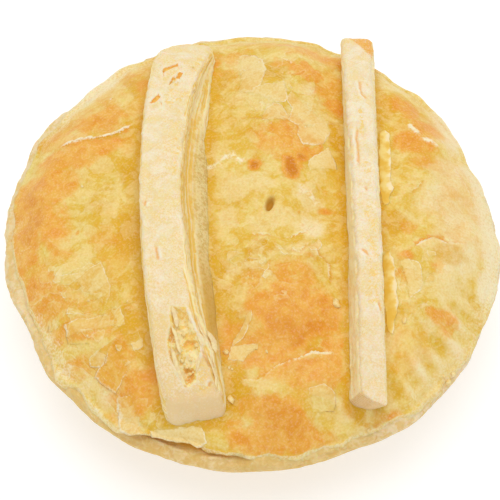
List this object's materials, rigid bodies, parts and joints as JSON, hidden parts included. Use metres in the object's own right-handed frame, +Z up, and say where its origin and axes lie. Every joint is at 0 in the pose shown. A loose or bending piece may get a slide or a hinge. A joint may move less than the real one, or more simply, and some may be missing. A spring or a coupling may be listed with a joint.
{
  "type": "mince and cheese pie",
  "caption": "Round single-serve savoury pie: tapered pastry case with a rim, domed flaky puff pastry lid, and puff pastry strips laid across the top.",
  "frame": {"origin": "middle of the flat base that the pie rests on", "axes": "+Z up, +Y to the back, +X to the right; the strips run along Y"},
  "size_m": [0.1144, 0.1145, 0.0427],
  "materials": {
    "case_pastry": "pale golden short pastry, matte, dry and slightly crumbly",
    "lid_pastry": "golden yellow flaky puff pastry with orange-brown baked patches, satin egg wash",
    "strip_pastry": "pale cream puff pastry, floury and matte, layered at the sides"
  },
  "bodies": {
    "root": {"pastry_case": "case_pastry", "pastry_lid": "lid_pastry", "pastry_strip_left": "strip_pastry", "pastry_strip_right": "strip_pastry"}
  },
  "joints": []
}
